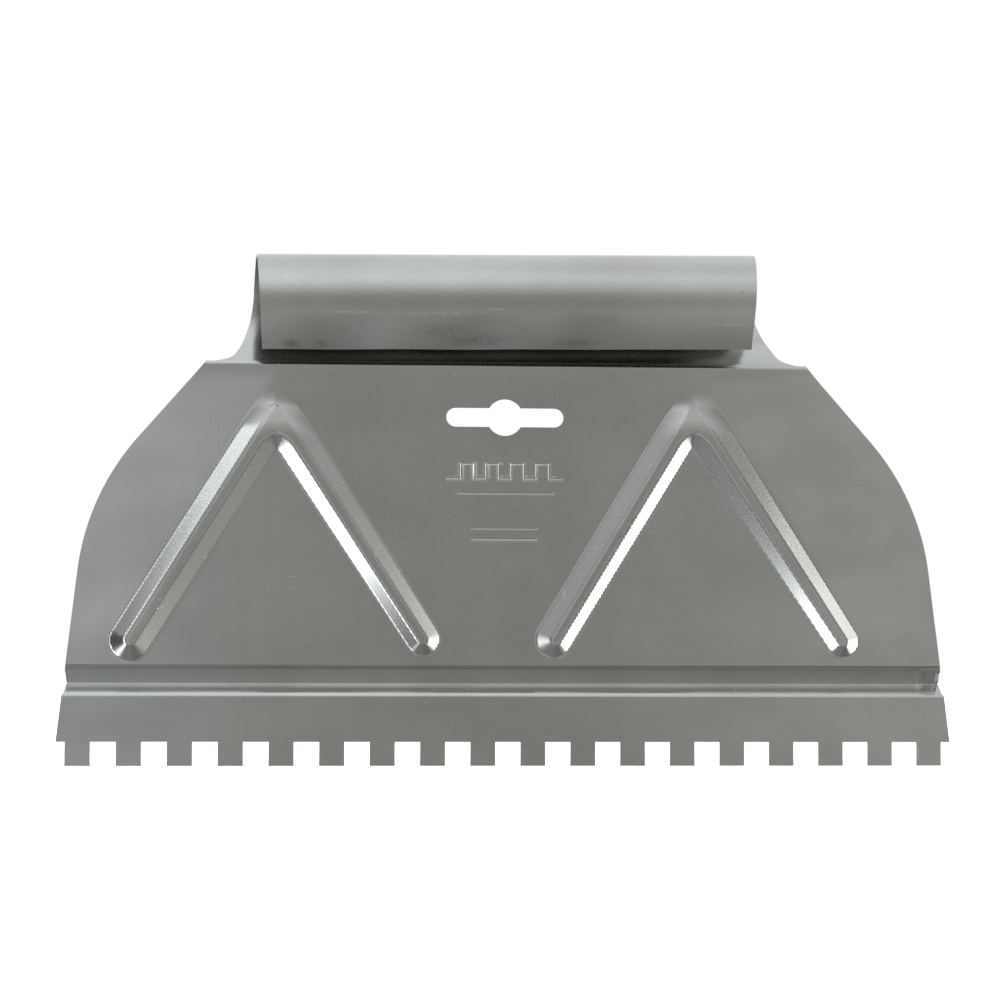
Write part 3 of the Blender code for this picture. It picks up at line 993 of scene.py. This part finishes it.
# Brightness of the studio by direction, as (angle in degrees, level) stops. Azimuth 0 is towards the
# user and grows to the right, and elevation 0 is level.
UPRIGHT_LIGHT = ((-90, 0.24), (-65, 0.24), (-48, 0.25), (-40, 0.28), (-32, 0.34), (-24, 0.41),
                 (-14, 0.39), (3, 0.37), (12, 0.41), (20, 0.48), (30, 0.64), (42, 0.80),
                 (52, 0.90), (62, 0.93), (72, 0.88), (90, 0.86))
SIDE_TONE = ((-180, 0.5), (-100, 0.5), (-75, 0.35), (-62, 0.25), (-38, 0.7), (-24, 0.85),
             (-15, 1.05), (-9, 1.58), (-5, 1.50), (-2, 1.1), (1, 0.87), (5, 0.79), (9, 0.96),
             (13, 1.22), (17, 1.20), (24, 0.90), (36, 0.62), (45, 0.50), (58, 0.50), (95, 0.6),
             (180, 0.6))
STEEP = (15, 48)              # from level to steep, the side tone gives way to the overhead light,
STEEP_SHARE = 0.9             # up to this share
OVERHEAD_LEFT = 1.10          # the overhead light is a little stronger on the left
OVERHEAD_RIGHT = 0.87
OVERHEAD_CHANGE = (0.02, 0.16)    # and weakens between these x parts of the direction
SKY_PEAK = 4.0                # above every level in the stops

# Tall soft lights: azimuth of the left and the right edge, and level.
LEFT_LIGHT = (-53, -41, 2.6)
RIGHT_LIGHT = (55, 100, 2.6)
SIDE_GLOW = (39, 60, 0.20)
LIGHT_TALL = 42               # they reach this far above and below level
LIGHT_SOFT = 2.5              # softness of their sides, and of their ends, in degrees
LIGHT_END_SOFT = 8
HIGH_DIM = 0.40               # they are this weak above eye level,
HIGH_DIM_CHANGE = (-15, 20)   # after fading between these elevations

BACK_LIGHT = 0.85             # light from behind the tool,
BACK_LOW = 0.25               # of which this share is left low down
BACK_CHANGE = (-0.6, 0.2)     # between these z parts of the direction
BEHIND = (0.0, 0.5)           # y parts of the direction between which it takes over

WARM_LIGHT = (1.0, 1.0, 0.965, 1.0)
COOL_LIGHT = (0.985, 1.0, 1.02, 1.0)
COOL_HIGH = (12, 42)          # the light turns cool between these elevations,
COOL_LEFT = (3, -5)           # and between these azimuths
SURROUND = (1.0, 1.0, 1.0, 1.0)

FLOOR_HALF = 6.0
FLOOR_GAP = 0.2 * MM          # between the floor and the tips of the teeth
FLOOR_TONE = (2.5, 2.6)       # above 1, so that the floor comes out as white as the surround
FLOOR_PATCHES = (0.3, 0.7)    # levels of its noise between which the tone changes


def curve(n, value, stops):
    """Piecewise-linear curve through (value, level) stops, in order."""
    low, high = stops[0][0], stops[-1][0]
    node = n.add("ShaderNodeValToRGB")
    elements = node.color_ramp.elements
    for at, _ in stops[1:-1]:
        elements.new((at - low) / (high - low))
    for element, (_, level) in zip(elements, stops):
        element.color = (level / SKY_PEAK,) * 3 + (1.0,)
    n.feed(node.inputs[0], n.ramp(value, low, high, smooth=False))
    return n.times(node.outputs[0], SKY_PEAK)


def strip(n, azimuth, elevation, light):
    """A tall soft light between two azimuths."""
    start, end, level = light
    rise = n.ramp(azimuth, start - LIGHT_SOFT, start + LIGHT_SOFT)
    fall = n.ramp(azimuth, end + LIGHT_SOFT, end - LIGHT_SOFT)
    steep = n.math("ABSOLUTE", elevation)
    tall = n.ramp(steep, LIGHT_TALL + LIGHT_END_SOFT, LIGHT_TALL - LIGHT_END_SOFT)
    dim = n.ramp(elevation, *HIGH_DIM_CHANGE, 1.0, HIGH_DIM)
    return n.times(rise, fall, tall, dim, level)


def front_light(n, x, azimuth, elevation):
    """Soft light from the user's side, with a tone by azimuth when level and an even one when steep."""
    steep = n.ramp(n.math("ABSOLUTE", elevation), *STEEP, 0.0, STEEP_SHARE)
    overhead = n.times(n.ramp(x, *OVERHEAD_CHANGE, OVERHEAD_LEFT, OVERHEAD_RIGHT), steep)
    side = n.times(curve(n, azimuth, SIDE_TONE), n.one_less(steep))
    return n.times(curve(n, elevation, UPRIGHT_LIGHT), n.plus(side, overhead))


def build_world():
    """Soft studio seen only in reflections, with a white surround for the camera."""
    world = bpy.data.worlds.new("studio")
    bpy.context.scene.world = world
    world.use_nodes = True
    world.node_tree.nodes.clear()
    n = Nodes(world.node_tree)
    parts = n.add("ShaderNodeSeparateXYZ")
    n.feed(parts.inputs[0], n.add("ShaderNodeTexCoord").outputs["Generated"])
    x, y, z = parts.outputs
    degrees = 180 / math.pi
    azimuth = n.times(n.math("ARCTAN2", x, n.times(y, -1.0)), degrees)
    elevation = n.times(n.math("ARCSINE", z), degrees)

    behind = n.ramp(y, *BEHIND)
    front = n.times(front_light(n, x, azimuth, elevation), n.one_less(behind))
    back = n.times(n.ramp(z, *BACK_CHANGE, BACK_LOW, 1.0), BACK_LIGHT, behind)
    strips = [strip(n, azimuth, elevation, light) for light in (LEFT_LIGHT, RIGHT_LIGHT, SIDE_GLOW)]
    cool = n.strongest(n.ramp(elevation, *COOL_HIGH), n.ramp(azimuth, *COOL_LEFT))
    tint = n.add("ShaderNodeVectorMath", operation="SCALE")
    n.feed(tint.inputs[0], n.mix(cool, WARM_LIGHT, COOL_LIGHT))
    n.feed(tint.inputs["Scale"], n.plus(front, back, *strips))

    seen = n.add("ShaderNodeLightPath").outputs["Is Camera Ray"]
    background = n.add("ShaderNodeBackground")
    n.feed(background.inputs["Color"], n.mix(seen, tint.outputs[0], SURROUND))
    output = n.add("ShaderNodeOutputWorld")
    n.feed(output.inputs["Surface"], background.outputs[0])


def floor_material():
    """Plain matt white, with faint patches."""
    material = bpy.data.materials.new("pale_floor")
    material.use_nodes = True
    nodes = material.node_tree.nodes
    nodes.remove(nodes["Principled BSDF"])
    n = Nodes(material.node_tree)
    position = n.add("ShaderNodeNewGeometry").outputs["Position"]
    tone = n.ramp(n.noise(position, scale=3.0, detail=3, seed=7), *FLOOR_PATCHES, *FLOOR_TONE)
    colour = n.add("ShaderNodeCombineXYZ")
    for socket in colour.inputs:
        n.feed(socket, tone)
    diffuse = n.add("ShaderNodeBsdfDiffuse")
    n.feed(diffuse.inputs["Color"], colour.outputs[0])
    n.feed(nodes["Material Output"].inputs["Surface"], diffuse.outputs[0])
    return material


def build_floor():
    """Plain pale floor under the tips of the teeth. The steel doesn't reflect it."""
    half = FLOOR_HALF
    mesh = bpy.data.meshes.new("floor")
    corners = [(-half, -half, 0), (half, -half, 0), (half, half, 0), (-half, half, 0)]
    mesh.from_pydata(corners, [], [(0, 1, 2, 3)])
    mesh.materials.append(floor_material())
    floor = bpy.data.objects.new("floor", mesh)
    floor.location.z = cad_low.z - FLOOR_GAP
    floor.visible_glossy = False
    bpy.context.scene.collection.objects.link(floor)


def build_camera():
    """Camera at the photo's viewing angle: a little to the left of the tool, and a little below."""
    scene = bpy.context.scene
    data = bpy.data.cameras.new("camera")
    data.lens = CAMERA_LENS
    data.sensor_width = CAMERA_SENSOR
    camera = bpy.data.objects.new("camera", data)
    scene.collection.objects.link(camera)
    aim = (cad_low + cad_high) / 2 + AIM_OFFSET
    aim.y = 0.0
    back = Vector((math.sin(CAMERA_AZIMUTH) * math.cos(CAMERA_ELEVATION),
                   -math.cos(CAMERA_AZIMUTH) * math.cos(CAMERA_ELEVATION),
                   math.sin(CAMERA_ELEVATION)))
    level = (-back).to_track_quat("-Z", "Y").to_matrix().to_4x4()
    roll = Matrix.Rotation(CAMERA_ROLL, 4, "Z")
    camera.matrix_world = Matrix.Translation(aim + back * CAMERA_DISTANCE) @ level @ roll
    scene.camera = camera


def main():
    sheet = bpy.data.objects.new("steel_sheet", build_sheet())
    bpy.context.scene.collection.objects.link(sheet)
    sheet.data.materials.append(steel_material())
    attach(sheet, "root")
    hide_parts("spreader_sheet")
    build_world()
    build_floor()
    build_camera()
    settings = bpy.context.scene.view_settings
    settings.view_transform = "Standard"
    settings.look = "None"


main()
